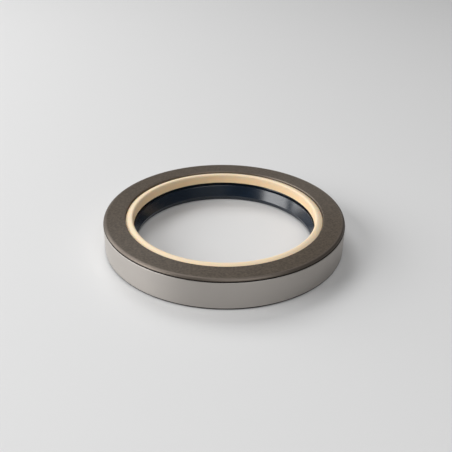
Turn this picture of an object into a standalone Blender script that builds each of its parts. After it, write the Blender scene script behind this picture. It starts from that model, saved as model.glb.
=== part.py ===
"""Oil seal for a 75 mm shaft in a 100 mm bore, 13 mm wide, as six pieces that press together.

A drawn steel outer case closes over an excluder ring, a rubber sealing lip with its steel carrier,
and a steel inner case, and its rim is rolled in to hold them. A garter spring sits in the lip's groove.
The seal stands on its open, oil side at z = 0, with its closed face up and its axis on +Z.
"""

import math

import bmesh
import bpy
from mathutils import Vector

# Driving dimensions, in metres
SHAFT_DIAMETER = 0.075
BORE_DIAMETER = 0.100
SEAL_WIDTH = 0.013
SEAT_GAP = 0.0003  # left between two pieces that seat on each other

# Outer case
CASE_WALL = 0.0015
CASE_CORNER = 0.0014  # outside rounding of the drawn corner
CASE_BEND = 0.0005  # inside rounding of the drawn corner
CASE_HOLE_EDGE = 0.0004
RIM_WALL = 0.0011  # thickness of the rim where it is rolled in
RIM_REACH = 0.0014  # how far the rolled rim stands in from the case's inside wall
RIM_CORNER = 0.0009
RIM_EDGE = 0.0003

# Excluder ring, which keeps dirt out at the closed face
EXCLUDER_CLEARANCE = 0.0003  # from the shaft's surface to the ring's hole
EXCLUDER_BAND = 0.00325  # from the shaft's surface to the band's outside, beside the case's hole
EXCLUDER_DEPTH = 0.0043  # from the closed face down to the ring's lower face
EXCLUDER_EDGE = 0.0002
CROWN_DROP = 0.0002  # from the closed face down to the top of the band's crown
CROWN_SHOULDER = 0.0008  # rounding from the crown into the ring's hole
CROWN_FALL = 0.00065  # how far the crown falls to the band's outside

# Lip carrier, a washer held in the lip's heel
CARRIER_WALL = 0.0008
CARRIER_SETBACK = 0.0030  # from the shaft's surface out to the carrier's hole

# Sealing lip
HEEL_SKIN = 0.0004  # rubber above and below the carrier
HEEL_RELIEF_DEPTH = 0.0009  # of the relief in the heel's top, beside the shaft
HEEL_RELIEF_REACH = 0.0015
HEEL_NOSE = 0.0003  # rounding of the heel beside the shaft
LIP_INTERFERENCE = 0.0006  # how far the free lip stands inside the shaft's surface
LIP_EDGE_ROUNDING = 0.00006
WAIST_THICKNESS = 0.0012
WAIST_FILLET = 0.0010
HEAD_THICKNESS = 0.0015  # rubber between the lip's edge and the spring groove
SHOULDER_RISE = 0.0007  # from the groove's mouth up to the waist
NOSE_HEIGHT = 0.0004  # how far the lip's nose stays above the open face
NOSE_THICKNESS = 0.0008
NOSE_RELIEF = 0.0006  # how far the nose opens out from the lip's edge
NOSE_LENGTH = 0.0026  # from the nose's mouth out to the jaw that keeps the spring in
NOSE_EDGE = 0.0002
GROOVE_MOUTH_TOP = 125  # degrees round the spring, counted from straight out
GROOVE_MOUTH_BOTTOM = 270

# Garter spring
COIL_DIAMETER = 0.0024
SPRING_WIRE = 0.0004
SPRING_RISE = 0.0004  # from the lip's edge up to the middle of the spring
SPRING_TURNS = 96
JOINT_TURNS = 6  # turns of the thin end, screwed into the other end
JOINT_GAP = 0.0001

# Inner case
INNER_WALL = 0.0012
INNER_CORNER = 0.0010
INNER_BEND = 0.0004
INNER_EDGE = 0.0002
SPRING_ROOM = 0.0012  # from the spring out to the inner case's hole

# Fineness of the faces
RING_SEGMENTS = 60
COIL_STEPS = 6  # points to a turn of the spring
CHORD_HEIGHT = 0.00004  # how far a face on a rounding may lie from the true arc
MOST_OF_SIDE = 0.45  # share of a side that one fillet may take
CROWN_STEPS = 4
GROOVE_STEPS = 6
MERGE = 0.000001


# Values that more than one piece takes its place from
shaft_radius = SHAFT_DIAMETER / 2
case_radius = BORE_DIAMETER / 2
case_inside = case_radius - CASE_WALL
seat_radius = case_inside - SEAT_GAP
flange_underside = SEAL_WIDTH - CASE_WALL

excluder_radius = shaft_radius + EXCLUDER_BAND
excluder_bottom = SEAL_WIDTH - EXCLUDER_DEPTH
case_hole_radius = excluder_radius + SEAT_GAP

heel_top = excluder_bottom - SEAT_GAP
slot_top = heel_top - HEEL_SKIN
carrier_top = slot_top - SEAT_GAP
carrier_bottom = carrier_top - CARRIER_WALL
slot_bottom = carrier_bottom - SEAT_GAP
heel_bottom = slot_bottom - HEEL_SKIN
carrier_hole_radius = shaft_radius + CARRIER_SETBACK

lip_radius = shaft_radius - LIP_INTERFERENCE
coil_radius = COIL_DIAMETER / 2
groove_radius = coil_radius + SEAT_GAP
spring_radius = lip_radius + HEAD_THICKNESS + groove_radius
spring_height = NOSE_HEIGHT + NOSE_THICKNESS + groove_radius
lip_edge_height = spring_height - SPRING_RISE

inner_top = heel_bottom - SEAT_GAP
inner_bottom = RIM_WALL + SEAT_GAP
inner_hole_radius = spring_radius + coil_radius + SPRING_ROOM


def linear(level):
    """One channel of a display colour from 0 to 255, as the linear value that a shader takes."""
    share = level / 255
    if share <= 0.04045:
        return share / 12.92
    return ((share + 0.055) / 1.055) ** 2.4


def finish(name, display_colour, metallic, roughness):
    """A material with one Principled shader."""
    material = bpy.data.materials.new(name)
    material.use_nodes = True
    shader = material.node_tree.nodes["Principled BSDF"]
    shader.inputs["Base Color"].default_value = (*map(linear, display_colour), 1)
    shader.inputs["Metallic"].default_value = metallic
    shader.inputs["Roughness"].default_value = roughness
    return material


def arc(centre, radius, start, end, steps):
    """Points (radius from the axis, height) along an arc, from start to end in degrees."""
    points = []
    for step in range(steps + 1):
        angle = math.radians(start + (end - start) * step / steps)
        points.append((centre[0] + radius * math.cos(angle), centre[1] + radius * math.sin(angle)))
    return points


def widest_step(radius):
    """The widest angle whose chord stays close enough to an arc of this radius."""
    return 2 * math.acos(1 - min(CHORD_HEIGHT / radius, 1))


def rounded_corner(before, corner, after, fillet):
    """The points that replace a corner when it gets a fillet, which its two sides limit."""
    to_before, to_after = before - corner, after - corner
    half = to_before.angle(to_after) / 2
    shorter_side = min(to_before.length, to_after.length)
    tangent = min(fillet / math.tan(half), MOST_OF_SIDE * shorter_side)
    fillet = tangent * math.tan(half)
    middle = (to_before.normalized() + to_after.normalized()).normalized()
    centre = corner + middle * (fillet / math.sin(half))
    spoke = corner + to_before.normalized() * tangent - centre
    sweep = spoke.angle_signed(corner + to_after.normalized() * tangent - centre)
    steps = math.ceil(abs(sweep) / widest_step(fillet))
    start = math.degrees(math.atan2(spoke.y, spoke.x))
    # angle_signed counts clockwise, and arc counts the other way.
    return arc(centre, fillet, start, start - math.degrees(sweep), steps)


def rounded(corners):
    """A closed outline from corners given as (radius from the axis, height, fillet)."""
    outline = []
    for index, (x, z, fillet) in enumerate(corners):
        if not fillet:
            outline.append((x, z))
            continue
        before = Vector(corners[index - 1][:2])
        after = Vector(corners[(index + 1) % len(corners)][:2])
        outline += rounded_corner(before, Vector((x, z)), after, fillet)
    return outline


def sharp(points):
    """The same points as corners without a fillet."""
    return [(x, z, 0) for x, z in points]


def turned(name, outline, material, collection):
    """A ring turned from a closed outline, which runs down its outer side first."""
    profile = bmesh.new()
    corners = [profile.verts.new((x, 0, z)) for x, z in outline]
    for first, second in zip(corners, corners[1:] + corners[:1]):
        profile.edges.new((first, second))
    mesh = bpy.data.meshes.new(name)
    profile.to_mesh(mesh)
    profile.free()
    mesh.materials.append(material)
    piece = bpy.data.objects.new(name, mesh)
    collection.objects.link(piece)
    turn = piece.modifiers.new("Turn", "SCREW")
    turn.axis = "Z"
    turn.angle = 2 * math.pi
    turn.steps = RING_SEGMENTS
    turn.render_steps = RING_SEGMENTS
    turn.use_merge_vertices = True
    turn.merge_threshold = MERGE
    turn.use_smooth_shade = False
    return piece


def outer_case_outline():
    """A cup with a wide hole in its floor, and its rim rolled in at the open side."""
    rim_inside = case_inside - RIM_REACH
    return rounded(
        [
            (case_radius, SEAL_WIDTH, CASE_CORNER),
            (case_radius, 0, RIM_CORNER),
            (rim_inside, 0, RIM_EDGE),
            (rim_inside, RIM_WALL, RIM_EDGE),
            (case_inside, RIM_WALL, 0),
            (case_inside, flange_underside, CASE_BEND),
            (case_hole_radius, flange_underside, 0),
            (case_hole_radius, SEAL_WIDTH, CASE_HOLE_EDGE),
        ]
    )


def crown_outline():
    """The top of the excluder's band: a rounding out of its hole, then a shallow arc to its outside."""
    hole_radius = shaft_radius + EXCLUDER_CLEARANCE
    ridge_radius = hole_radius + CROWN_SHOULDER
    ridge_height = SEAL_WIDTH - CROWN_DROP
    run = excluder_radius - ridge_radius
    arc_radius = (run**2 + CROWN_FALL**2) / (2 * CROWN_FALL)
    arc_end = 90 - math.degrees(math.asin(run / arc_radius))
    shoulder = arc((ridge_radius, ridge_height - CROWN_SHOULDER), CROWN_SHOULDER, 180, 90, CROWN_STEPS)
    top = arc((ridge_radius, ridge_height - arc_radius), arc_radius, 90, arc_end, CROWN_STEPS)
    return shoulder + top[1:]


def excluder_outline():
    """A foot clamped under the case's flange, and a crowned band that rises through its hole."""
    foot_top = flange_underside - SEAT_GAP
    return rounded(
        [
            (seat_radius, foot_top, CASE_BEND),
            (seat_radius, excluder_bottom, EXCLUDER_EDGE),
            (shaft_radius + EXCLUDER_CLEARANCE, excluder_bottom, EXCLUDER_EDGE),
            *sharp(crown_outline()),
            (excluder_radius, foot_top, 0),
        ]
    )


def carrier_outline():
    """A plain washer."""
    return [
        (seat_radius, carrier_top),
        (seat_radius, carrier_bottom),
        (carrier_hole_radius, carrier_bottom),
        (carrier_hole_radius, carrier_top),
    ]


def air_side_radius(height):
    """Radius of the lip's long face, which narrows from the heel to the lip's edge."""
    share = (height - lip_edge_height) / (heel_top - lip_edge_height)
    return lip_radius + LIP_INTERFERENCE * share


def lip_outline():
    """A relieved heel slotted for the carrier, a thin waist, and a head with edge, nose and groove."""
    slot_end = carrier_hole_radius - SEAT_GAP
    relief_end = shaft_radius + HEEL_RELIEF_REACH
    relief_bottom = heel_top - HEEL_RELIEF_DEPTH
    spring_centre = (spring_radius, spring_height)
    groove = arc(spring_centre, groove_radius, GROOVE_MOUTH_TOP, GROOVE_MOUTH_BOTTOM, GROOVE_STEPS)
    shoulder = groove[0][1] + SHOULDER_RISE
    mouth_radius = lip_radius + NOSE_RELIEF
    jaw_radius = mouth_radius + NOSE_LENGTH
    return rounded(
        [
            (seat_radius, heel_top, 0),
            (seat_radius, slot_top, 0),
            (slot_end, slot_top, 0),
            (slot_end, slot_bottom, 0),
            (seat_radius, slot_bottom, 0),
            (seat_radius, heel_bottom, 0),
            (air_side_radius(heel_bottom) + WAIST_THICKNESS, heel_bottom, WAIST_FILLET),
            (air_side_radius(shoulder) + WAIST_THICKNESS, shoulder, 0),
            *sharp(groove),
            (jaw_radius, groove[-1][1], NOSE_EDGE),
            (jaw_radius, NOSE_HEIGHT, NOSE_EDGE),
            (mouth_radius, NOSE_HEIGHT, NOSE_EDGE),
            (lip_radius, lip_edge_height, LIP_EDGE_ROUNDING),
            (shaft_radius, relief_bottom, HEEL_NOSE),
            (relief_end, relief_bottom, 0),
            (relief_end, heel_top, 0),
        ]
    )


def inner_case_outline():
    """A sleeve that stands on the rolled rim, with a flange that clamps the lip's heel."""
    sleeve_inside = seat_radius - INNER_WALL
    flange_bottom = inner_top - INNER_WALL
    return rounded(
        [
            (seat_radius, inner_top, INNER_CORNER),
            (seat_radius, inner_bottom, INNER_EDGE),
            (sleeve_inside, inner_bottom, INNER_EDGE),
            (sleeve_inside, flange_bottom, INNER_BEND),
            (inner_hole_radius, flange_bottom, INNER_EDGE),
            (inner_hole_radius, inner_top, INNER_EDGE),
        ]
    )


def coil_point(turns, middle_radius):
    """A point on the spring's wire, this many turns from its start."""
    round_ring = 2 * math.pi * turns / SPRING_TURNS
    round_coil = 2 * math.pi * turns
    out = spring_radius + middle_radius * math.cos(round_coil)
    height = spring_height + middle_radius * math.sin(round_coil)
    return out * math.cos(round_ring), out * math.sin(round_ring), height


def spring_path():
    """The wire once round the ring, then its thin end inside the first turns."""
    wide = coil_radius - SPRING_WIRE / 2
    thin = wide - SPRING_WIRE - JOINT_GAP
    points = []
    for step in range((SPRING_TURNS + JOINT_TURNS) * COIL_STEPS + 1):
        turns = step / COIL_STEPS
        # The coil narrows over its last turn, so that it is thin where it meets its own start.
        narrowing = min(max(turns - (SPRING_TURNS - 1), 0), 1)
        points.append(coil_point(turns, wide + (thin - wide) * narrowing))
    return points


def garter_spring(name, material, collection):
    """A wire wound into a coil, closed to a ring by screwing one end into the other."""
    curve = bpy.data.curves.new(name, "CURVE")
    curve.dimensions = "3D"
    curve.bevel_depth = SPRING_WIRE / 2
    curve.bevel_resolution = 0
    curve.use_fill_caps = True
    path = spring_path()
    spline = curve.splines.new("POLY")
    spline.points.add(len(path) - 1)
    for point, place in zip(spline.points, path):
        point.co = (*place, 1)
    curve.materials.append(material)
    piece = bpy.data.objects.new(name, curve)
    collection.objects.link(piece)
    return piece


def clear_scene():
    for piece in list(bpy.data.objects):
        bpy.data.objects.remove(piece)


def main():
    clear_scene()
    seal = bpy.data.collections.new("oil_seal")
    bpy.context.scene.collection.children.link(seal)

    phosphate = finish("phosphated_steel", (94, 88, 78), 0.6, 0.5)
    polymer = finish("cream_polymer", (226, 204, 168), 0, 0.45)
    rubber = finish("blue_black_rubber", (28, 36, 44), 0, 0.3)
    bare_steel = finish("bare_steel", (150, 146, 140), 1, 0.4)
    spring_steel = finish("spring_steel", (170, 168, 164), 1, 0.3)
    plated_steel = finish("zinc_steel", (140, 140, 138), 1, 0.45)

    turned("outer_case", outer_case_outline(), phosphate, seal)
    turned("excluder_ring", excluder_outline(), polymer, seal)
    turned("lip_carrier", carrier_outline(), plated_steel, seal)
    turned("sealing_lip", lip_outline(), rubber, seal)
    turned("inner_case", inner_case_outline(), bare_steel, seal)
    garter_spring("garter_spring", spring_steel, seal)


main()
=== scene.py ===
"""Looks of a metal-cased oil seal: its six pieces at full smoothness, their finishes and a pale studio.

The seal lies on its open side at z = 0 with its closed face up, and its axis is +Z.
A turned piece is drawn as half of its section in the XZ plane and spun round the axis, as on a lathe.
"""

import math

import bmesh
import bpy
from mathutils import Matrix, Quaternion, Vector


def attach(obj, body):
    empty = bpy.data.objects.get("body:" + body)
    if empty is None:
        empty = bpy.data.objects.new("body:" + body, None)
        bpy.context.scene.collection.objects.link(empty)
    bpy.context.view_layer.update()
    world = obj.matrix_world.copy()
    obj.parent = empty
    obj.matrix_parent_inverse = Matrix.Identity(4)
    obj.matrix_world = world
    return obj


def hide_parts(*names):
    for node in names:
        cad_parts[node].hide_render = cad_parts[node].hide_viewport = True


bl_info = {
    "name": "Oil Seal",
    "version": (1, 0, 0),
    "blender": (4, 5, 0),
    "location": "3D View > Sidebar > Oil Seal",
    "description": "Adds the pieces of a metal-cased oil seal with their finishes, and a studio round it",
    "category": "Add Mesh",
}

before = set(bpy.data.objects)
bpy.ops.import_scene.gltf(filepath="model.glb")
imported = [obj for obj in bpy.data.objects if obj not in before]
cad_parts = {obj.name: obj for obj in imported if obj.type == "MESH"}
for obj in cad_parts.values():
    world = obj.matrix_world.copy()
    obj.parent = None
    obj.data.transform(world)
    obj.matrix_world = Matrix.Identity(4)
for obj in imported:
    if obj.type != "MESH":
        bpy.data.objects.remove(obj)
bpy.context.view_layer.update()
BODY = "root"

# Fineness of the pieces
RING_STEPS = 480
ARC_STEP = math.radians(9)
SMOOTH_ANGLE = math.radians(35)
WELD = 0.000001
FLAT_WEIGHT = 100  # how much the larger faces lead the shading
COIL_STEPS = 14  # points to a turn of the spring
WIRE_ROUNDNESS = 2

# Share of the camera's distance nearer than which nothing is drawn
NEAR_SHARE = 0.1

# Where the spring's groove opens, in degrees round the spring, counted from straight out
GROOVE_MOUTH_TOP = math.radians(125)
GROOVE_MOUTH_BOTTOM = math.radians(270)

# Ranges for masks and noise, as (low, high)
RISING = (0.0, 1.0)
FALLING = (1.0, 0.0)
NOISE_RANGE = (0.3, 0.7)

# How rough each finish is, as (smoothest, roughest)
COAT_ROUGH = (0.64, 0.72)
GROUND_ROUGH = (0.48, 0.56)
CREAM_ROUGH = (0.48, 0.58)
RUBBER_ROUGH = (0.20, 0.25)
BURNISHED_ROUGH = 0.45
# Painted shade line: kept rough so that it shows no reflection
PAINTED_SHADE_ROUGH = 0.9
FILM_SMOOTHER = 0.06  # what the film takes from the roughness of the inner steel
FILM_ROUGHER = 0.08  # and what it adds

# Fineness of the grain, the clouds and the turned lines, in marks to the metre
COAT_GRAIN = {"Grain Scale": 1100.0, "Cloud Scale": 420.0}
CREAM_GRAIN = {"Grain Scale": 3000.0, "Cloud Scale": 260.0}
RUBBER_GRAIN = {"Grain Scale": 1800.0, "Cloud Scale": 220.0}
STEEL_GRAIN = {"Grain Scale": 1500.0, "Cloud Scale": 160.0}
GROUND_LINES = {"Fineness": 9000.0}
CREAM_LINES = {"Fineness": 5200.0}

# How the noise is built up
GRAIN_DETAIL = 4.0
LINE_DETAIL = 3.0
CLOUD_DETAIL = 2.0
NOISE_ROUGHNESS = 0.6

# Even values of the shaders
CASE_GLOSS = {"Specular IOR Level": 0.3}
CREAM_GLOW = {
    "Specular IOR Level": 0.3,
    "Subsurface Weight": 0.35,
    "Subsurface Radius": (1.0, 0.6, 0.3),
    "Subsurface Scale": 0.0012,
}
RUBBER_GLOSS = {"IOR": 1.65}
BARE_METAL = {"Metallic": 1.0}
PAPER = {"Roughness": 0.7, "Specular IOR Level": 0.2}

# How strongly the finishes vary
COAT_CONTRAST = 0.8
BURNISH_STRENGTH = 0.8
COAT_METAL = (0.05, 0.8)  # how metallic the coat is, as (coated, burnished)
PAINTED_GLOW_SHARE = (0.95, 0.25)  # share of the painted glow cream, which is painted light in the ring's hole, as (in the hole, on the crown)
CREAM_PATCHES = (-0.1, 0.1)
RUBBER_SHADE = 0.7
FILM_SHADE = 0.72

# How the marks stand out
WALL_BRUSHING = 0.6
RUBBER_BRUSHING = 0.25
COAT_BUMP = 0.35
CREAM_BUMP = 0.25
STEEL_BUMP = 0.3
LINE_RELIEF = 0.6  # of the coat's crystals
QUARTER_TURN = 0.25  # of a whole turn, as the shader counts it
FEED_SLOPE = 0.37  # how the fine steps that turning leaves on the lip face upwards


def reach(node):
    """A CAD ring's smallest and largest radius, and its lowest and highest height."""
    places = [corner.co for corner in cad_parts[node].data.vertices]
    radii = [math.hypot(place.x, place.y) for place in places]
    heights = [place.z for place in places]
    return min(radii), max(radii), min(heights), max(heights)


CASE_HOLE, CASE_OUTSIDE, CASE_BOTTOM, CASE_TOP = reach("outer_case")
BAND_HOLE, SEAT_RADIUS, BAND_BOTTOM, BAND_TOP = reach("excluder_ring")
_, _, NOSE_BOTTOM, HEEL_TOP = reach("sealing_lip")
CARRIER_HOLE, CARRIER_OUTSIDE, CARRIER_BOTTOM, CARRIER_TOP = reach("lip_carrier")
INNER_HOLE, INNER_OUTSIDE, INNER_BOTTOM, INNER_TOP = reach("inner_case")


def length(name, description, default):
    """A size in metres."""
    return bpy.props.FloatProperty(
        name=name,
        description=description,
        default=default,
        min=0,
        precision=5,
        subtype="DISTANCE",
        unit="LENGTH",
    )


def colour(name, description, default):
    """A linear colour."""
    return bpy.props.FloatVectorProperty(
        name=name, description=description, default=default, size=3, min=0, max=1, subtype="COLOR"
    )


def angle(name, description, degrees):
    """An angle, given in degrees."""
    default = math.radians(degrees)
    return bpy.props.FloatProperty(name=name, description=description, default=default, subtype="ANGLE")


def amount(name, description, default):
    """A plain number."""
    return bpy.props.FloatProperty(name=name, description=description, default=default, min=0)


def spot(name, description, default):
    """A point in metres."""
    return bpy.props.FloatVectorProperty(
        name=name, description=description, default=default, subtype="XYZ", unit="LENGTH"
    )


class OuterCaseSizes(bpy.types.PropertyGroup):
    wall: length("Wall", "Thickness of the drawn steel", 0.0015)
    corner: length("Corner", "Outside rounding of the drawn corner", 0.0014)
    bend: length("Bend", "Inside rounding of the drawn corner", 0.0005)
    hole_edge: length("Hole Edge", "Rounding of the hole's edge in the closed face", 0.0004)
    step: length("Ground Step", "How far the ground wall stands proud of the coated corner", 0.0001)
    rim_wall: length("Rim Wall", "Thickness of the rim that is rolled in", 0.0011)
    rim_reach: length("Rim Reach", "How far the rolled rim stands in from the wall", 0.0014)
    rim_corner: length("Rim Corner", "Rounding of the corner that the seal stands on", 0.0009)
    rim_edge: length("Rim Edge", "Rounding of the rolled rim's own edge", 0.0003)


class ExcluderSizes(bpy.types.PropertyGroup):
    band: length("Band", "Width of the band that shows inside the case", 0.00295)
    shoulder: length("Shoulder", "Rounding from the crown into the ring's hole", 0.0008)
    fall: length("Fall", "How far the crown falls to the band's outside", 0.00065)
    foot_top: length("Foot Top", "Height of the top of the clamped foot", 0.0112)
    edge: length("Edge", "Rounding of the lower edges", 0.0002)


class SealingLipSizes(bpy.types.PropertyGroup):
    shaft: length("Shaft", "Radius of the shaft", 0.0375)
    interference: length("Interference", "How far the free lip stands inside the shaft's surface", 0.0006)
    relief_depth: length("Relief Depth", "Depth of the relief in the heel's top, beside the shaft", 0.0009)
    relief_reach: length("Relief Reach", "Reach of that relief out from the shaft", 0.0015)
    heel_nose: length("Heel Nose", "Rounding of the heel beside the shaft", 0.0003)
    heel_depth: length("Heel Depth", "Thickness of the rubber heel with its carrier", 0.0022)
    skin: length("Skin", "Rubber above and below the carrier", 0.0004)
    gap: length("Gap", "Space between two pieces that seat on each other", 0.0003)
    waist: length("Waist", "Thickness of the lip's thin waist", 0.0012)
    waist_fillet: length("Waist Fillet", "Rounding between the waist and the heel", 0.0010)
    edge_height: length("Edge Height", "Height of the lip's edge", 0.0023)
    edge_rounding: length("Edge Rounding", "Rounding of the lip's edge", 0.00006)
    nose_thickness: length("Nose Thickness", "Thickness of the nose under the spring", 0.0008)
    nose_relief: length("Nose Relief", "How far the nose opens out from the lip's edge", 0.0006)
    nose_length: length("Nose Length", "From the nose's mouth out to the jaw under the spring", 0.0026)
    nose_edge: length("Nose Edge", "Rounding of the nose's edges", 0.0002)
    shoulder: length("Shoulder", "From the groove's mouth up to the waist", 0.0007)


class SpringSizes(bpy.types.PropertyGroup):
    ring_radius: length("Ring Radius", "From the seal's axis to the middle of the coil", 0.0399)
    height: length("Height", "Height of the middle of the coil", 0.0027)
    coil: length("Coil", "Outside diameter of the coil", 0.0024)
    wire: length("Wire", "Diameter of the wire", 0.0004)
    pitch: length("Pitch", "From one turn to the next, along the ring", 0.00042)
    joint_turns: bpy.props.IntProperty(
        name="Joint Turns",
        description="Turns of the thin end, screwed into the other end",
        default=12,
        min=1,
    )
    joint_step: amount("Joint Step", "How far inside the coil the thin end lies, in wires", 1.2)


class InnerPartSizes(bpy.types.PropertyGroup):
    wall: length("Inner Case Wall", "Thickness of the inner case", 0.0012)
    corner: length("Inner Case Corner", "Outside rounding of the inner case", 0.0010)
    bend: length("Inner Case Bend", "Inside rounding of the inner case", 0.0004)
    edge: length("Cut Edge", "Rounding of the sheared edges", 0.00015)


class MarkSizes(bpy.types.PropertyGroup):
    ground_reach: length("Ground Reach", "How far in from the outside the grinding cuts through", 0.0001)
    ground_fade: length("Ground Fade", "Width in which the grinding runs out", 0.00006)
    step_fade: length("Step Fade", "Height in which the ground wall ends at its top", 0.00002)
    rim_fade: length("Rim Fade", "Height in which the ground wall ends at its bottom", 0.0002)
    burnish_reach: length("Burnish Reach", "How far the burnish runs past the rounded corner", 0.0003)
    burnish_depth: length("Burnish Depth", "How far in from the outside the burnish is full", 0.0008)
    hole_burnish: length("Hole Burnish", "How far round the hole's edge the burnish is full", 0.0002)
    # Painted shade: the near-black line above the ground wall stands in for the shaded crease there
    line_height: length("Line Height", "Height of the dark line above the ground wall", 0.0004)
    line_fade: length("Line Fade", "Height in which the dark line runs out", 0.0003)
    # Painted light: how far below the crown the hole's painted glow is full
    painted_glow_depth: length("Painted Glow Depth", "How far below its crown the cream is warmest", 0.0022)
    crystal_height: length("Crystal Height", "Height of the coat's crystals", 0.00002)
    turning_depth: length("Turning Depth", "Depth of the turned lines", 0.00001)


class FinishColours(bpy.types.PropertyGroup):
    coat: colour("Coat", "The case's dark phosphate coat", (0.114, 0.090, 0.068))
    coat_shade: colour("Coat Shade", "The darker crystals in the coat", (0.046, 0.037, 0.028))
    burnished: colour("Burnished", "The coat that drawing has burnished, on the corner", (0.20, 0.17, 0.145))
    # Painted shade: near-black over the crease above the ground wall and over the rounded underside, for
    # their shade and the contact shadow
    painted_shade_line: colour("Painted Shade Line", "The dark line beside the ground wall", (0.010, 0.007, 0.005))
    ground_steel: colour("Ground Steel", "The bare, ground outside wall", (0.50, 0.47, 0.44))
    cream: colour("Cream", "The top of the excluder ring", (0.82, 0.70, 0.52))
    # Painted light: a brighter, warmer cream painted into the ring's hole for the glow of its shaded wall
    cream_painted_glow: colour("Cream Painted Glow", "The excluder ring's warmer hole", (0.98, 0.70, 0.42))
    rubber: colour("Rubber", "The sealing lip", (0.003, 0.012, 0.027))
    drawn_steel: colour("Drawn Steel", "The inner case", (0.34, 0.32, 0.30))
    washer_steel: colour("Washer Steel", "The lip's carrier", (0.32, 0.31, 0.30))
    spring_steel: colour("Spring Steel", "The garter spring's wire", (0.50, 0.49, 0.47))


class StudioSettings(bpy.types.PropertyGroup):
    floor: colour("Floor", "The pale floor", (0.72, 0.72, 0.72))
    floor_size: length("Floor Size", "Length of the floor's sides", 20.0)
    ambient: amount("Ambient", "Strength of the even light from all round", 0.08)
    key_power: amount("Key Power", "Power of the soft lamp behind the seal, in watts", 10.3)
    key_size: length("Key Size", "Side of the soft lamp behind the seal", 0.8)
    key_place: spot("Key Place", "Where the soft lamp behind the seal stands", (-0.40, 0.99, 1.19))
    side_power: amount("Side Power", "Power of the soft lamp on the left, in watts", 7.8)
    side_size: length("Side Size", "Side of the soft lamp on the left", 0.66)
    side_place: spot("Side Place", "Where the soft lamp on the left stands", (-0.91, -0.26, 0.54))
    fill_power: amount("Fill Power", "Power of the soft lamp above in front, in watts", 4.7)
    fill_size: length("Fill Size", "Side of the soft lamp above in front", 0.8)
    fill_place: spot("Fill Place", "Where the soft lamp above in front hangs", (0.26, -0.60, 0.99))
    tail_power: amount("Tail Power", "Power of the weak lamp behind on the left, in watts", 3.2)
    tail_size: length("Tail Size", "Side of the weak lamp behind on the left", 0.5)
    tail_place: spot("Tail Place", "Where the weak lamp behind on the left stands", (-0.95, 0.40, 0.33))
    camera_distance: length("Camera Distance", "From the middle of the closed face to the camera", 0.2593)
    camera_elevation: angle("Camera Elevation", "Height of the camera above the horizon", 28.206)
    camera_roll: angle("Camera Roll", "Turn of the camera round its own axis", 0.694)
    aim: spot("Aim", "Point that the camera looks at", (0.000713, -0.011553, 0.013))
    lens: amount("Lens", "Focal length in millimetres", 49.393)


def start_section(name, place):
    """A plane merged to one corner, in edit mode, from which a section is drawn."""
    bpy.ops.object.select_all(action="DESELECT")
    bpy.ops.mesh.primitive_plane_add(size=WELD, location=(place.x, 0, place.y))
    piece = bpy.context.object
    piece.name = name
    piece.data.name = name
    bpy.ops.object.transform_apply(location=True, rotation=True, scale=True)
    bpy.ops.object.mode_set(mode="EDIT")
    bpy.ops.mesh.merge(type="CENTER")
    return piece


def extrude_to(here, there):
    """Extrudes the section's last corner to a new place."""
    move = there - here
    bpy.ops.mesh.extrude_region_move(TRANSFORM_OT_translate={"value": (move.x, 0, move.y)})
    return there


def extrude_along(here, places):
    for place in places:
        here = extrude_to(here, Vector(place))
    return here


def spin_round(here, centre, sweep):
    """Spins the section's last corner round a centre, anticlockwise for a positive sweep."""
    steps = math.ceil(abs(sweep) / ARC_STEP)
    bpy.ops.mesh.spin(steps=steps, angle=sweep, center=(centre.x, 0, centre.y), axis=(0, 1, 0))
    spoke = here - centre
    turned = complex(spoke.x, spoke.y) * complex(math.cos(sweep), math.sin(sweep))
    return centre + Vector((turned.real, turned.imag))


def close_section():
    bpy.ops.mesh.select_all(action="SELECT")
    bpy.ops.mesh.remove_doubles(threshold=WELD)


def round_corner(piece, place, radius):
    """Bevels the section's corner at a place to an arc of this radius."""
    section = bmesh.from_edit_mesh(piece.data)
    bpy.ops.mesh.select_all(action="DESELECT")
    target = Vector((place[0], 0, place[1]))
    corner = min(section.verts, key=lambda vertex: (vertex.co - target).length)
    corner.select = True
    section.select_flush_mode()
    sides = [edge.other_vert(corner).co - corner.co for edge in corner.link_edges]
    opening = sides[0].angle(sides[1])
    steps = math.ceil((math.pi - opening) / ARC_STEP)
    bpy.ops.mesh.bevel(
        offset=radius / math.tan(opening / 2),
        offset_type="OFFSET",
        affect="VERTICES",
        segments=steps,
        profile=0.5,
    )


def turn_section():
    """Spins the drawn section once round the seal's axis and smooths the ring."""
    bpy.ops.mesh.select_all(action="SELECT")
    bpy.ops.mesh.spin(steps=RING_STEPS, angle=2 * math.pi, center=(0, 0, 0), axis=(0, 0, 1))
    bpy.ops.mesh.select_all(action="SELECT")
    bpy.ops.mesh.remove_doubles(threshold=WELD)
    bpy.ops.mesh.normals_make_consistent(inside=False)
    bpy.ops.object.mode_set(mode="OBJECT")
    bpy.ops.object.shade_smooth_by_angle(angle=SMOOTH_ANGLE)
    keep_flats_flat(bpy.context.object)


def keep_flats_flat(piece):
    """Weights the shading by face area, so that a flat stays flat up to its rounded edge."""
    weighted = piece.modifiers.new("Flat Flats", "WEIGHTED_NORMAL")
    weighted.mode = "FACE_AREA"
    weighted.weight = FLAT_WEIGHT
    weighted.keep_sharp = True
    bpy.ops.object.modifier_apply(modifier=weighted.name)


def turned_ring(name, corners):
    """A ring from its section's corners, each given as (radius from the axis, height, rounding)."""
    places = [Vector(corner[:2]) for corner in corners]
    piece = start_section(name, places[-1])
    extrude_along(places[-1], places)
    close_section()
    for x, z, radius in corners:
        if radius:
            round_corner(piece, (x, z), radius)
    turn_section()
    return piece


def place_in_frame(piece, node, material):
    """Gives a finished piece its material and its place among the CAD parts."""
    piece.data.materials.clear()
    piece.data.materials.append(material)
    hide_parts(node)
    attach(piece, BODY)


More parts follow.
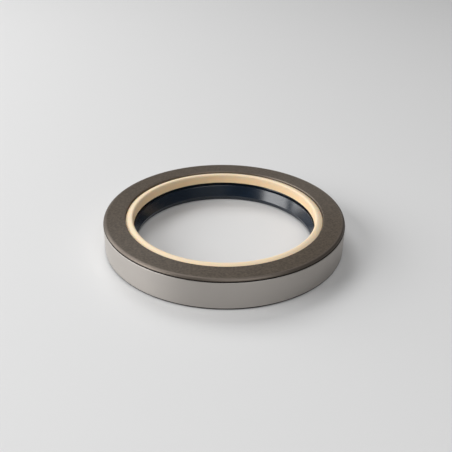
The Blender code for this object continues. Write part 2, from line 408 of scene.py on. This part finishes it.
def add_node(tree, kind, inputs=None, **settings):
    """A shader node with its settings and the values of its unlinked sockets."""
    made = tree.nodes.new(kind)
    for key, value in settings.items():
        setattr(made, key, value)
    for key, value in (inputs or {}).items():
        made.inputs[key].default_value = value
    return made


def feed(tree, source, socket):
    """Links a socket to another one, or sets it to a plain value or colour."""
    if isinstance(source, bpy.types.NodeSocket):
        tree.links.new(source, socket)
    elif isinstance(source, (float, int)):
        socket.default_value = source
    else:
        socket.default_value = (*source, 1)


def mixed(tree, factor, first, second, data_type="RGBA"):
    """A mix of two colours or, with data_type FLOAT, of two values."""
    made = add_node(tree, "ShaderNodeMix", data_type=data_type)
    sockets = [socket for socket in made.inputs if socket.enabled]
    for source, socket in zip((factor, first, second), sockets):
        feed(tree, source, socket)
    return next(socket for socket in made.outputs if socket.enabled)


def calculated(tree, operation, first, second):
    made = add_node(tree, "ShaderNodeMath", operation=operation)
    feed(tree, first, made.inputs[0])
    feed(tree, second, made.inputs[1])
    return made.outputs["Value"]


def ranged(tree, value, given, wanted):
    """A value taken from one range to another, each written as (low, high)."""
    limits = {"From Min": given[0], "From Max": given[1], "To Min": wanted[0], "To Max": wanted[1]}
    made = add_node(tree, "ShaderNodeMapRange", limits)
    tree.links.new(value, made.inputs["Value"])
    return made.outputs["Result"]


def new_group(name, inputs, outputs):
    """A shader node group with named sockets, and its input and output nodes."""
    tree = bpy.data.node_groups.new(name, "ShaderNodeTree")
    for label, kind in inputs.items():
        tree.interface.new_socket(label, in_out="INPUT", socket_type="NodeSocket" + kind)
    for label, kind in outputs.items():
        tree.interface.new_socket(label, in_out="OUTPUT", socket_type="NodeSocket" + kind)
    return tree, tree.nodes.new("NodeGroupInput").outputs, tree.nodes.new("NodeGroupOutput").inputs


def ring_place_group():
    """Distance from the seal's axis, and height, from Object coordinates."""
    results = {"Radius": "Float", "Height": "Float"}
    tree, given, result = new_group("Ring Place", {"Vector": "Vector"}, results)
    split = add_node(tree, "ShaderNodeSeparateXYZ")
    flat = add_node(tree, "ShaderNodeCombineXYZ")
    size = add_node(tree, "ShaderNodeVectorMath", operation="LENGTH")
    tree.links.new(given["Vector"], split.inputs[0])
    tree.links.new(split.outputs["X"], flat.inputs["X"])
    tree.links.new(split.outputs["Y"], flat.inputs["Y"])
    tree.links.new(flat.outputs[0], size.inputs[0])
    tree.links.new(size.outputs["Value"], result["Radius"])
    tree.links.new(split.outputs["Z"], result["Height"])


def turned_lines_group():
    """Fine lines round the axis, as a lathe or a grinding wheel leaves them."""
    values = {"Vector": "Vector", "Fineness": "Float"}
    tree, given, result = new_group("Turned Lines", values, {"Lines": "Float"})
    place = add_group(tree, "Ring Place", given["Vector"])
    across = add_node(tree, "ShaderNodeCombineXYZ")
    noise = add_node(tree, "ShaderNodeTexNoise", {"Detail": LINE_DETAIL, "Roughness": NOISE_ROUGHNESS})
    tree.links.new(place["Radius"], across.inputs["X"])
    tree.links.new(place["Height"], across.inputs["Y"])
    tree.links.new(across.outputs[0], noise.inputs["Vector"])
    tree.links.new(given["Fineness"], noise.inputs["Scale"])
    tree.links.new(noise.outputs["Fac"], result["Lines"])


def grain_group():
    """Small crystals or pores, and broad clouds, each from 0 to 1."""
    tree, given, result = new_group(
        "Grain",
        {"Vector": "Vector", "Grain Scale": "Float", "Cloud Scale": "Float"},
        {"Grain": "Float", "Clouds": "Float"},
    )
    layers = (("Grain Scale", "Grain", GRAIN_DETAIL), ("Cloud Scale", "Clouds", CLOUD_DETAIL))
    for scale, output, detail in layers:
        noise = add_node(tree, "ShaderNodeTexNoise", {"Detail": detail, "Roughness": NOISE_ROUGHNESS})
        tree.links.new(given["Vector"], noise.inputs["Vector"])
        tree.links.new(given[scale], noise.inputs["Scale"])
        tree.links.new(ranged(tree, noise.outputs["Fac"], NOISE_RANGE, RISING), result[output])


def add_group(tree, name, where, values=None):
    """A node group in a tree, fed with coordinates and its own values, and its outputs."""
    made = add_node(tree, "ShaderNodeGroup", values, node_tree=bpy.data.node_groups[name])
    tree.links.new(where, made.inputs["Vector"])
    return made.outputs


def start_material(name, even_values):
    """A material's tree, its Principled shader with its even values, and its Object coordinates."""
    material = bpy.data.materials.new(name)
    material.use_nodes = True
    tree = material.node_tree
    shader = tree.nodes["Principled BSDF"].inputs
    for socket, value in even_values.items():
        shader[socket].default_value = value
    return material, tree, shader, add_node(tree, "ShaderNodeTexCoord").outputs["Object"]


def add_bump(tree, shader, height, distance, strength):
    bump = add_node(tree, "ShaderNodeBump", {"Distance": distance, "Strength": strength})
    tree.links.new(height, bump.inputs["Height"])
    tree.links.new(bump.outputs["Normal"], shader["Normal"])


def brush_round(tree, shader, amount_of_brushing):
    """Marks round the axis, which spread a highlight across themselves."""
    round_axis = add_node(tree, "ShaderNodeTangent", direction_type="RADIAL", axis="Z")
    tree.links.new(round_axis.outputs["Tangent"], shader["Tangent"])
    shader["Anisotropic"].default_value = amount_of_brushing
    shader["Anisotropic Rotation"].default_value = QUARTER_TURN


def darker(tint, level):
    return tuple(channel * level for channel in tint)


def case_masks(tree, place, sizes, marks):
    """Where the case is ground bare, where burnished, and where it is painted near-black as painted shade
    (the crease above the ground wall and the rounded underside it stands on), each from 0 to 1.
    """
    radius, height = place["Radius"], place["Height"]
    ground_radius = CASE_OUTSIDE - marks.ground_reach
    ground_top = CASE_TOP - sizes.corner + sizes.step
    ground_bottom = CASE_BOTTOM + sizes.rim_corner
    outside = ranged(tree, radius, (ground_radius - marks.ground_fade, ground_radius), RISING)
    below = ranged(tree, height, (ground_top, ground_top + marks.step_fade), FALLING)
    above = ranged(tree, height, (ground_bottom - marks.rim_fade, ground_bottom), RISING)
    ground = calculated(tree, "MULTIPLY", calculated(tree, "MULTIPLY", outside, below), above)

    corner_start = CASE_OUTSIDE - sizes.corner - marks.burnish_reach
    corner = ranged(tree, radius, (corner_start, CASE_OUTSIDE - marks.burnish_depth), RISING)
    # Painted shade: below this height, out at the corner, the case is painted near-black; the ground wall
    # covers the middle, which leaves the crease above it and the rounded underside
    line_top = ground_top + marks.line_height
    line = ranged(tree, height, (line_top, line_top + marks.line_fade), FALLING)
    hole_edge = ranged(tree, radius, (CASE_HOLE + marks.hole_burnish, CASE_HOLE + sizes.hole_edge), FALLING)
    burnished = calculated(tree, "MULTIPLY", corner, calculated(tree, "SUBTRACT", 1.0, line))
    burnished = calculated(tree, "MAXIMUM", burnished, hole_edge)
    return ground, burnished, calculated(tree, "MULTIPLY", corner, line)


def case_material(sizes, marks, colours):
    """Dark phosphate coat and bare ground steel on the outside wall, with painted shade in the crease above
    that wall and on the rounded underside.
    """
    material, tree, shader, where = start_material("Coated And Ground Steel", CASE_GLOSS)
    brush_round(tree, shader, WALL_BRUSHING)
    grain = add_group(tree, "Grain", where, COAT_GRAIN)
    lines = add_group(tree, "Turned Lines", where, GROUND_LINES)["Lines"]
    place = add_group(tree, "Ring Place", where)
    ground, burnished, line = case_masks(tree, place, sizes, marks)

    crystals = calculated(tree, "MULTIPLY", grain["Grain"], COAT_CONTRAST)
    burnish = calculated(tree, "MULTIPLY", burnished, BURNISH_STRENGTH)
    coat = mixed(tree, crystals, colours.coat, colours.coat_shade)
    coat = mixed(tree, burnish, coat, colours.burnished)
    # Painted shade over the crease above the ground wall and over the rounded underside
    coat = mixed(tree, line, coat, colours.painted_shade_line)
    feed(tree, mixed(tree, ground, coat, colours.ground_steel), shader["Base Color"])

    metal = ranged(tree, burnished, RISING, COAT_METAL)
    feed(tree, mixed(tree, ground, metal, 1.0, "FLOAT"), shader["Metallic"])
    rough = ranged(tree, grain["Clouds"], RISING, COAT_ROUGH)
    rough = mixed(tree, burnished, rough, BURNISHED_ROUGH, "FLOAT")
    # The painted shade is made rough, so that it shows no reflection
    rough = mixed(tree, line, rough, PAINTED_SHADE_ROUGH, "FLOAT")
    rough = mixed(tree, ground, rough, ranged(tree, lines, NOISE_RANGE, GROUND_ROUGH), "FLOAT")
    feed(tree, rough, shader["Roughness"])
    ground_lines = calculated(tree, "MULTIPLY", lines, LINE_RELIEF)
    relief = mixed(tree, ground, grain["Grain"], ground_lines, "FLOAT")
    add_bump(tree, shader, relief, marks.crystal_height, COAT_BUMP)
    return material


def cream_material(marks, colours):
    """Satin cream polymer with faint turned lines; its hole is painted warmer and brighter than its crown,
    as painted light for the glow of the shaded wall.
    """
    material, tree, shader, where = start_material("Cream Polymer", CREAM_GLOW)
    grain = add_group(tree, "Grain", where, CREAM_GRAIN)
    lines = add_group(tree, "Turned Lines", where, CREAM_LINES)["Lines"]
    height = add_group(tree, "Ring Place", where)["Height"]
    # Painted light: below the crown the cream turns to the brighter, warmer painted glow; the clouds add
    # random patches of real tone
    depth = ranged(tree, height, (BAND_TOP - marks.painted_glow_depth, BAND_TOP), PAINTED_GLOW_SHARE)
    patches = ranged(tree, grain["Clouds"], RISING, CREAM_PATCHES)
    glow_and_patches = calculated(tree, "ADD", depth, patches)
    feed(tree, mixed(tree, glow_and_patches, colours.cream, colours.cream_painted_glow), shader["Base Color"])
    feed(tree, ranged(tree, grain["Grain"], RISING, CREAM_ROUGH), shader["Roughness"])
    add_bump(tree, shader, lines, marks.turning_depth, CREAM_BUMP)
    return material


def rubber_material(sizes, colours):
    """Smooth, glossy blue-black rubber, with fine upward steps above the lip's edge."""
    material, tree, shader, where = start_material("Blue Black Rubber", RUBBER_GLOSS)
    brush_round(tree, shader, RUBBER_BRUSHING)
    grain = add_group(tree, "Grain", where, RUBBER_GRAIN)
    shade = darker(colours.rubber, RUBBER_SHADE)
    feed(tree, mixed(tree, grain["Clouds"], colours.rubber, shade), shader["Base Color"])
    feed(tree, ranged(tree, grain["Grain"], RISING, RUBBER_ROUGH), shader["Roughness"])
    height = add_group(tree, "Ring Place", where)["Height"]
    face = calculated(tree, "MAXIMUM", height, sizes.edge_height)
    steps = calculated(tree, "MULTIPLY", face, -FEED_SLOPE)  # in metres, so the bump adds no scale
    add_bump(tree, shader, steps, distance=1.0, strength=1.0)
    return material


def steel_material(name, tint, marks, rough, fineness):
    """Bare steel as drawn, rolled or coiled, with lines round the axis and a dull film."""
    material, tree, shader, where = start_material(name, BARE_METAL)
    grain = add_group(tree, "Grain", where, STEEL_GRAIN)
    lines = add_group(tree, "Turned Lines", where, {"Fineness": fineness})["Lines"]
    feed(tree, mixed(tree, grain["Clouds"], tint, darker(tint, FILM_SHADE)), shader["Base Color"])
    film = ranged(tree, grain["Grain"], RISING, (rough - FILM_SMOOTHER, rough + FILM_ROUGHER))
    feed(tree, film, shader["Roughness"])
    add_bump(tree, shader, lines, marks.turning_depth, STEEL_BUMP)
    return material


class OILSEAL_OT_outer_case(bpy.types.Operator):
    """Add the drawn steel case with its coated face and its ground outside wall"""

    bl_idname = "oil_seal.outer_case"
    bl_label = "Outer Case"

    def execute(self, context):
        sizes = context.scene.oil_seal_case
        inside = CASE_OUTSIDE - sizes.wall
        rim_inside = inside - sizes.rim_reach
        rim_top = CASE_BOTTOM + sizes.rim_wall
        underside = CASE_TOP - sizes.wall
        coated = CASE_OUTSIDE - sizes.step
        ground_top = CASE_TOP - sizes.corner
        piece = turned_ring(
            "case_shell",
            [
                (coated, CASE_TOP, sizes.corner - 2 * sizes.step),
                (coated, ground_top + sizes.step, 0),
                (CASE_OUTSIDE, ground_top, 0),
                (CASE_OUTSIDE, CASE_BOTTOM, sizes.rim_corner),
                (rim_inside, CASE_BOTTOM, sizes.rim_edge),
                (rim_inside, rim_top, sizes.rim_edge),
                (inside, rim_top, 0),
                (inside, underside, sizes.bend),
                (CASE_HOLE, underside, 0),
                (CASE_HOLE, CASE_TOP, sizes.hole_edge),
            ],
        )
        material = case_material(sizes, context.scene.oil_seal_marks, context.scene.oil_seal_colours)
        place_in_frame(piece, "outer_case", material)
        return {"FINISHED"}


class OILSEAL_OT_excluder_ring(bpy.types.Operator):
    """Add the cream ring that keeps dirt out, with its crowned band and its clamped foot"""

    bl_idname = "oil_seal.excluder_ring"
    bl_label = "Excluder Ring"

    def execute(self, context):
        sizes = context.scene.oil_seal_excluder
        ridge_radius = BAND_HOLE + sizes.shoulder
        run = sizes.band - sizes.shoulder
        crown_radius = (run**2 + sizes.fall**2) / (2 * sizes.fall)
        corner = Vector((BAND_HOLE, BAND_BOTTOM))
        piece = start_section("crowned_band", corner)
        here = extrude_to(corner, Vector((BAND_HOLE, BAND_TOP - sizes.shoulder)))
        here = spin_round(here, Vector((ridge_radius, BAND_TOP - sizes.shoulder)), -math.pi / 2)
        crown_middle = Vector((ridge_radius, BAND_TOP - crown_radius))
        here = spin_round(here, crown_middle, -math.asin(run / crown_radius))
        extrude_along(
            here,
            [
                (here.x, sizes.foot_top),
                (SEAT_RADIUS, sizes.foot_top),
                (SEAT_RADIUS, BAND_BOTTOM),
                corner,
            ],
        )
        close_section()
        for place in ((SEAT_RADIUS, sizes.foot_top), (SEAT_RADIUS, BAND_BOTTOM), corner):
            round_corner(piece, place, sizes.edge)
        turn_section()
        material = cream_material(context.scene.oil_seal_marks, context.scene.oil_seal_colours)
        place_in_frame(piece, "excluder_ring", material)
        return {"FINISHED"}


class OILSEAL_OT_sealing_lip(bpy.types.Operator):
    """Add the rubber lip with its relieved heel, thin waist, edge, nose and spring groove"""

    bl_idname = "oil_seal.sealing_lip"
    bl_label = "Sealing Lip"

    def execute(self, context):
        sizes, spring = context.scene.oil_seal_lip, context.scene.oil_seal_spring
        lip_radius = sizes.shaft - sizes.interference
        relief_end = sizes.shaft + sizes.relief_reach
        relief_bottom = HEEL_TOP - sizes.relief_depth
        slope = sizes.interference / (HEEL_TOP - sizes.edge_height)
        heel_bottom = HEEL_TOP - sizes.heel_depth
        slot_top, slot_bottom = HEEL_TOP - sizes.skin, heel_bottom + sizes.skin
        slot_end = CARRIER_HOLE - sizes.gap
        mouth = lip_radius + sizes.nose_relief
        jaw = mouth + sizes.nose_length
        nose_top = NOSE_BOTTOM + sizes.nose_thickness
        groove = spring.coil / 2 + sizes.gap
        spring_middle = Vector((spring.ring_radius, spring.height))
        mouth_top = Vector((math.cos(GROOVE_MOUTH_TOP), math.sin(GROOVE_MOUTH_TOP)))
        groove_start = spring_middle + mouth_top * groove
        shoulder = groove_start.y + sizes.shoulder
        shoulder_radius = lip_radius + slope * (shoulder - sizes.edge_height) + sizes.waist
        waist_top_radius = lip_radius + slope * (heel_bottom - sizes.edge_height) + sizes.waist

        start = Vector((sizes.shaft, relief_bottom))
        piece = start_section("lip_body", start)
        here = extrude_along(
            start,
            [
                (relief_end, relief_bottom),
                (relief_end, HEEL_TOP),
                (SEAT_RADIUS, HEEL_TOP),
                (SEAT_RADIUS, slot_top),
                (slot_end, slot_top),
                (slot_end, slot_bottom),
                (SEAT_RADIUS, slot_bottom),
                (SEAT_RADIUS, heel_bottom),
                (waist_top_radius, heel_bottom),
                (shoulder_radius, shoulder),
                groove_start,
            ],
        )
        here = spin_round(here, spring_middle, GROOVE_MOUTH_BOTTOM - GROOVE_MOUTH_TOP)
        extrude_along(
            here,
            [
                (jaw, nose_top),
                (jaw, NOSE_BOTTOM),
                (mouth, NOSE_BOTTOM),
                (lip_radius, sizes.edge_height),
                start,
            ],
        )
        close_section()
        round_corner(piece, (waist_top_radius, heel_bottom), sizes.waist_fillet)
        for place in ((jaw, nose_top), (jaw, NOSE_BOTTOM), (mouth, NOSE_BOTTOM)):
            round_corner(piece, place, sizes.nose_edge)
        round_corner(piece, (lip_radius, sizes.edge_height), sizes.edge_rounding)
        round_corner(piece, start, sizes.heel_nose)
        round_corner(piece, (relief_end, HEEL_TOP), sizes.heel_nose)
        turn_section()
        material = rubber_material(sizes, context.scene.oil_seal_colours)
        place_in_frame(piece, "sealing_lip", material)
        return {"FINISHED"}


class OILSEAL_OT_inner_parts(bpy.types.Operator):
    """Add the lip's carrier washer and the inner case that clamps the lip"""

    bl_idname = "oil_seal.inner_parts"
    bl_label = "Carrier And Inner Case"

    def execute(self, context):
        sizes = context.scene.oil_seal_inner
        marks = context.scene.oil_seal_marks
        colours = context.scene.oil_seal_colours
        carrier = turned_ring(
            "carrier_washer",
            [
                (CARRIER_OUTSIDE, CARRIER_TOP, sizes.edge),
                (CARRIER_OUTSIDE, CARRIER_BOTTOM, sizes.edge),
                (CARRIER_HOLE, CARRIER_BOTTOM, sizes.edge),
                (CARRIER_HOLE, CARRIER_TOP, sizes.edge),
            ],
        )
        material = steel_material("Washer Steel", colours.washer_steel, marks, rough=0.42, fineness=3000.0)
        place_in_frame(carrier, "lip_carrier", material)

        sleeve_inside = INNER_OUTSIDE - sizes.wall
        flange_bottom = INNER_TOP - sizes.wall
        inner_case = turned_ring(
            "inner_case_shell",
            [
                (INNER_OUTSIDE, INNER_TOP, sizes.corner),
                (INNER_OUTSIDE, INNER_BOTTOM, sizes.edge),
                (sleeve_inside, INNER_BOTTOM, sizes.edge),
                (sleeve_inside, flange_bottom, sizes.bend),
                (INNER_HOLE, flange_bottom, sizes.edge),
                (INNER_HOLE, INNER_TOP, sizes.edge),
            ],
        )
        material = steel_material("Drawn Steel", colours.drawn_steel, marks, rough=0.38, fineness=2200.0)
        place_in_frame(inner_case, "inner_case", material)
        return {"FINISHED"}


class OILSEAL_OT_garter_spring(bpy.types.Operator):
    """Add the close-wound spring, whose thin end is screwed into its other end"""

    bl_idname = "oil_seal.garter_spring"
    bl_label = "Garter Spring"

    def execute(self, context):
        sizes = context.scene.oil_seal_spring
        bpy.ops.object.select_all(action="DESELECT")
        bpy.ops.curve.primitive_nurbs_path_add()
        piece = context.object
        piece.name = "spring_coil"
        wire = piece.data
        wire.splines.clear()
        wire.bevel_depth = sizes.wire / 2
        wire.bevel_resolution = WIRE_ROUNDNESS
        wire.use_fill_caps = True
        places = self.wire_places(sizes)
        spline = wire.splines.new("POLY")
        spline.points.add(len(places) - 1)
        for point, place in zip(spline.points, places):
            point.co = (*place, 1)
        bpy.ops.object.convert(target="MESH")
        bpy.ops.object.shade_smooth_by_angle(angle=SMOOTH_ANGLE)
        marks, tint = context.scene.oil_seal_marks, context.scene.oil_seal_colours.spring_steel
        material = steel_material("Spring Steel", tint, marks, rough=0.3, fineness=4000.0)
        place_in_frame(piece, "garter_spring", material)
        return {"FINISHED"}

    def wire_places(self, sizes):
        """The wire once round the ring, then its thin end inside the first turns."""
        turns_round = round(2 * math.pi * sizes.ring_radius / sizes.pitch)
        wide = (sizes.coil - sizes.wire) / 2
        thin = wide - sizes.joint_step * sizes.wire
        places = []
        for step in range((turns_round + sizes.joint_turns) * COIL_STEPS + 1):
            turns = step / COIL_STEPS
            narrowing = min(max(turns - (turns_round - 1), 0), 1)
            middle = wide + (thin - wide) * narrowing
            round_ring = 2 * math.pi * turns / turns_round
            round_coil = 2 * math.pi * turns
            out = sizes.ring_radius + middle * math.cos(round_coil)
            up = sizes.height + middle * math.sin(round_coil)
            places.append((out * math.cos(round_ring), out * math.sin(round_ring), up))
        return places


def floor_material(tint):
    """Smooth, plain studio paper with hardly any gloss."""
    material, tree, shader, _ = start_material("Pale Floor", PAPER)
    feed(tree, tint, shader["Base Color"])
    return material


class OILSEAL_OT_studio(bpy.types.Operator):
    """Add the pale floor, the soft lamps and the camera"""

    bl_idname = "oil_seal.studio"
    bl_label = "Studio"

    def execute(self, context):
        settings = context.scene.oil_seal_studio
        bpy.ops.object.select_all(action="DESELECT")
        bpy.ops.mesh.primitive_plane_add(size=settings.floor_size, location=(0, 0, 0))
        floor = context.object
        floor.name = "studio_floor"
        floor.data.materials.append(floor_material(settings.floor))
        self.add_world(context.scene, settings)
        self.add_lamp("key_lamp", settings.key_place, settings.key_size, settings.key_power)
        self.add_lamp("side_lamp", settings.side_place, settings.side_size, settings.side_power)
        self.add_lamp("fill_lamp", settings.fill_place, settings.fill_size, settings.fill_power)
        self.add_lamp("tail_lamp", settings.tail_place, settings.tail_size, settings.tail_power)
        self.add_camera(context.scene, settings)
        context.scene.view_settings.view_transform = "Standard"
        return {"FINISHED"}

    def add_world(self, scene, settings):
        """Even light from all round, in the floor's own tint."""
        world = bpy.data.worlds.new("Studio Light")
        scene.world = world
        world.use_nodes = True
        tree = world.node_tree
        light = tree.nodes["Background"]
        light.inputs["Color"].default_value = (*settings.floor, 1)
        light.inputs["Strength"].default_value = settings.ambient / settings.floor[1]

    def add_lamp(self, name, where, size, power):
        """A soft lamp that faces the seal."""
        bpy.ops.object.light_add(type="AREA", location=where)
        lamp = bpy.context.object
        lamp.name = name
        lamp.data.size = size
        lamp.data.energy = power
        lamp.rotation_euler = (-Vector(where)).to_track_quat("-Z", "Y").to_euler()

    def add_camera(self, scene, settings):
        back, up = math.cos(settings.camera_elevation), math.sin(settings.camera_elevation)
        place = Vector((0, 0, CASE_TOP)) + Vector((0, -back, up)) * settings.camera_distance
        bpy.ops.object.camera_add(location=place)
        camera = bpy.context.object
        camera.name = "photo_camera"
        camera.data.lens = settings.lens
        camera.data.clip_start = settings.camera_distance * NEAR_SHARE
        camera.rotation_mode = "QUATERNION"
        looking = (Vector(settings.aim) - place).to_track_quat("-Z", "Y")
        camera.rotation_quaternion = looking @ Quaternion((0, 0, 1), settings.camera_roll)
        scene.camera = camera


PROPERTY_GROUPS = {
    "oil_seal_case": OuterCaseSizes,
    "oil_seal_excluder": ExcluderSizes,
    "oil_seal_lip": SealingLipSizes,
    "oil_seal_spring": SpringSizes,
    "oil_seal_inner": InnerPartSizes,
    "oil_seal_marks": MarkSizes,
    "oil_seal_colours": FinishColours,
    "oil_seal_studio": StudioSettings,
}
OPERATORS = (
    OILSEAL_OT_outer_case,
    OILSEAL_OT_excluder_ring,
    OILSEAL_OT_sealing_lip,
    OILSEAL_OT_inner_parts,
    OILSEAL_OT_garter_spring,
    OILSEAL_OT_studio,
)


class OILSEAL_PT_panel(bpy.types.Panel):
    """Sizes, colours and pieces of the oil seal"""

    bl_idname = "OILSEAL_PT_panel"
    bl_label = "Oil Seal"
    bl_space_type = "VIEW_3D"
    bl_region_type = "UI"
    bl_category = "Oil Seal"

    def draw(self, context):
        for name, group in PROPERTY_GROUPS.items():
            box = self.layout.box()
            box.label(text=name.replace("_", " ").title())
            for key in group.__annotations__:
                box.prop(getattr(context.scene, name), key)
        for operator in OPERATORS:
            self.layout.operator(operator.bl_idname)


def register():
    for name, group in PROPERTY_GROUPS.items():
        bpy.utils.register_class(group)
        setattr(bpy.types.Scene, name, bpy.props.PointerProperty(type=group))
    for shown in (*OPERATORS, OILSEAL_PT_panel):
        bpy.utils.register_class(shown)


def unregister():
    for shown in (OILSEAL_PT_panel, *reversed(OPERATORS)):
        bpy.utils.unregister_class(shown)
    for name, group in reversed(PROPERTY_GROUPS.items()):
        delattr(bpy.types.Scene, name)
        bpy.utils.unregister_class(group)


def main():
    register()
    ring_place_group()
    turned_lines_group()
    grain_group()
    bpy.ops.oil_seal.outer_case()
    bpy.ops.oil_seal.excluder_ring()
    bpy.ops.oil_seal.sealing_lip()
    bpy.ops.oil_seal.inner_parts()
    bpy.ops.oil_seal.garter_spring()
    bpy.ops.oil_seal.studio()


if __name__ == "__main__":
    main()
